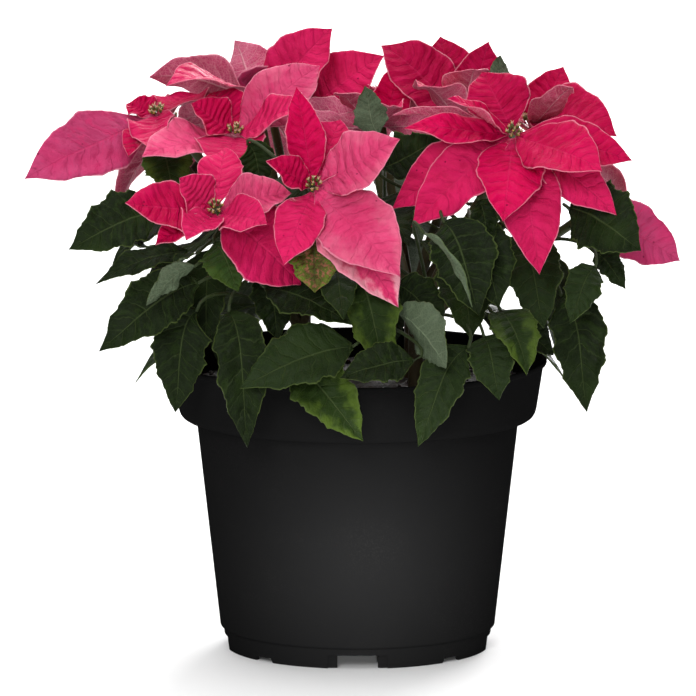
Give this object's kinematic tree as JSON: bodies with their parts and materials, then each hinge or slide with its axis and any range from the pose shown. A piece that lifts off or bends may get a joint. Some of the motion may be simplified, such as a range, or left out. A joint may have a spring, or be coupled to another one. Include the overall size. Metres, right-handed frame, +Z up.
{
  "type": "potted poinsettia",
  "caption": "Bushy poinsettia with pink-crimson bracts and dark green leaves, standing in compost in a round black plastic nursery pot.",
  "frame": {"origin": "on the pot's axis, on the surface that the pot stands on", "axes": "+Z up along the pot's axis, +X to the right of the front, -Y towards the viewer of the front"},
  "size_m": [0.3612, 0.2588, 0.3382],
  "materials": {
    "pot_plastic": "black moulded polypropylene, satin, slightly worn",
    "peat": "dark moist peat compost, crumbly, matte",
    "leaf_green": "dark green leaf, veined, soft satin",
    "bract_crimson": "pink-crimson bract, veined and quilted, velvety",
    "cyathia_yellow_green": "yellow-green flower cups, waxy"
  },
  "bodies": {
    "root": {"pot": "pot_plastic", "soil": "peat", "stem_front_left": "leaf_green", "stem_front_right": "leaf_green", "stem_back_left": "leaf_green", "stem_back_right": "leaf_green", "bloom_front": "bract_crimson", "bloom_low_left": "bract_crimson", "bloom_right": "bract_crimson", "bloom_upper_left": "bract_crimson", "bloom_far_left": "bract_crimson", "bloom_top_left": "bract_crimson", "bloom_top_middle": "bract_crimson", "bloom_centre": "bract_crimson", "bloom_top_right": "bract_crimson", "bloom_far_right": "bract_crimson", "bloom_low_right": "bract_crimson", "bloom_back_left": "bract_crimson", "bloom_back_middle": "bract_crimson", "bloom_back_high": "bract_crimson", "bloom_back_right": "bract_crimson", "bloom_side_right": "bract_crimson", "cyathia_front": "cyathia_yellow_green", "cyathia_low_left": "cyathia_yellow_green", "cyathia_right": "cyathia_yellow_green", "cyathia_upper_left": "cyathia_yellow_green", "cyathia_far_left": "cyathia_yellow_green", "cyathia_top_left": "cyathia_yellow_green", "cyathia_top_middle": "cyathia_yellow_green", "cyathia_centre": "cyathia_yellow_green", "cyathia_top_right": "cyathia_yellow_green", "cyathia_far_right": "cyathia_yellow_green", "cyathia_low_right": "cyathia_yellow_green", "cyathia_back_left": "cyathia_yellow_green", "cyathia_back_middle": "cyathia_yellow_green", "cyathia_back_high": "cyathia_yellow_green", "cyathia_back_right": "cyathia_yellow_green", "cyathia_side_right": "cyathia_yellow_green"}
  },
  "joints": []
}
